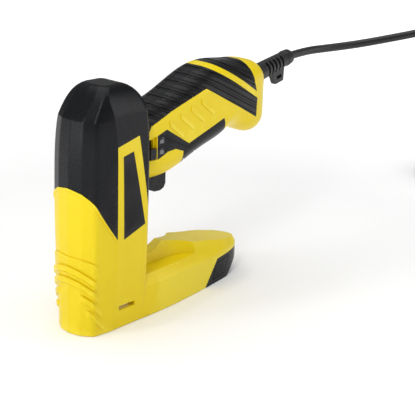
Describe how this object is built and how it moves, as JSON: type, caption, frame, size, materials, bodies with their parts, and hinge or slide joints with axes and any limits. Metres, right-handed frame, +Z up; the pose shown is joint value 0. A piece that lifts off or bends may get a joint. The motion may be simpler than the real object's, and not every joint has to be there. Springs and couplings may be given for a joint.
{
  "type": "corded electric staple gun",
  "caption": "Corded electric staple gun: upright column with a driver, closed D-shaped grip, trigger, pull-out magazine along the sole, strain relief, coiled mains lead and plug.",
  "frame": {"origin": "on the sole, on the centre plane, below the middle of the column", "axes": "+Z up, +X from the nose towards the cord end, +Y to the right-hand side of the tool"},
  "size_m": [0.6752, 0.1017, 0.1918],
  "materials": {
    "housing_yellow": "semi-gloss, finely textured",
    "black_plastic": "satin",
    "grip_black": "matt, ribbed",
    "plate_black": "gloss",
    "white_plastic": "satin",
    "zinc_steel": "zinc plated",
    "bright_steel": "brushed",
    "spring_steel": "drawn wire",
    "copper_wire": "enamelled copper wire",
    "black_rubber": "matt",
    "board_green": "satin",
    "cord_black": "satin",
    "plug_black": "satin"
  },
  "bodies": {
    "tool": {"housing_left": "housing_yellow", "housing_right": "housing_yellow", "front_cover_left": "black_plastic", "front_cover_right": "black_plastic", "handle_grip_left": "grip_black", "handle_grip_right": "grip_black", "rear_grip_left": "grip_black", "rear_grip_right": "grip_black", "lower_grip_left": "grip_black", "lower_grip_right": "grip_black", "side_plate_left": "plate_black", "side_plate_right": "plate_black", "housing_screws": "zinc_steel", "solenoid_yoke": "zinc_steel", "solenoid_bobbin": "white_plastic", "solenoid_winding": "copper_wire", "return_spring": "spring_steel", "driver_bumper": "black_rubber", "nose_plate": "bright_steel", "magazine_tube": "bright_steel", "window_strip_left": "bright_steel", "window_strip_right": "bright_steel", "trigger_spring": "spring_steel", "switch_plate": "zinc_steel", "microswitch": "white_plastic", "circuit_board": "board_green", "capacitor": "white_plastic", "triac": "plate_black", "choke": "copper_wire", "cord_inner": "cord_black", "cord_clamp": "white_plastic", "clamp_screws": "zinc_steel", "cord_sleeve": "cord_black", "cord_lead": "cord_black", "cord_coil": "cord_black", "cord_tie": "black_plastic", "cord_tail": "cord_black", "plug": "plug_black", "plug_pins": "bright_steel"},
    "driver": {"plunger": "zinc_steel", "driver_bracket": "zinc_steel", "driver_blade": "bright_steel"},
    "drawer": {"magazine_drawer": "zinc_steel", "staple_strip": "bright_steel", "pusher_rod": "bright_steel", "pusher_spring": "spring_steel", "magazine_cap": "black_plastic"},
    "pusher": {"pusher": "black_plastic"},
    "latch_left": {"latch_left": "black_plastic"},
    "latch_right": {"latch_right": "black_plastic"},
    "trigger": {"trigger": "black_plastic"},
    "switch_button": {"switch_button": "black_plastic"},
    "lock": {"lock_slider": "black_plastic"}
  },
  "joints": [
    {"name": "driver_stroke", "type": "slide", "parent": "tool", "child": "driver", "axis": [0, 0, -1], "range_m": [0, 0.016], "stiffness_N_per_m": 220, "springref_m": -0.004, "deforming": ["return_spring"]},
    {"name": "drawer_slide", "type": "slide", "parent": "tool", "child": "drawer", "axis": [1, 0, 0], "range_m": [0, 0.11]},
    {"name": "pusher_slide", "type": "slide", "parent": "drawer", "child": "pusher", "axis": [1, 0, 0], "range_m": [0, 0.06], "stiffness_N_per_m": 40, "springref_m": -0.02, "deforming": ["pusher_spring"]},
    {"name": "latch_left_press", "type": "slide", "parent": "drawer", "child": "latch_left", "axis": [0, 1, 0], "range_m": [0, 0.0015], "stiffness_N_per_m": 800, "springref_m": -0.001},
    {"name": "latch_right_press", "type": "slide", "parent": "drawer", "child": "latch_right", "axis": [0, -1, 0], "range_m": [0, 0.0015], "stiffness_N_per_m": 800, "springref_m": -0.001},
    {"name": "trigger_pull", "type": "slide", "parent": "tool", "child": "trigger", "axis": [0, 0, 1], "range_m": [0, 0.005], "stiffness_N_per_m": 500, "springref_m": -0.002, "deforming": ["trigger_spring"]},
    {"name": "switch_press", "type": "slide", "parent": "tool", "child": "switch_button", "axis": [0, 0, 1], "range_m": [0, 0.001]},
    {"name": "lock_slide", "type": "slide", "parent": "tool", "child": "lock", "axis": [0, 0, 1], "range_m": [0, 0.006]}
  ],
  "couplings": [
    {"joint": "switch_press", "follows": "trigger_pull", "ratio": 0.2}
  ]
}
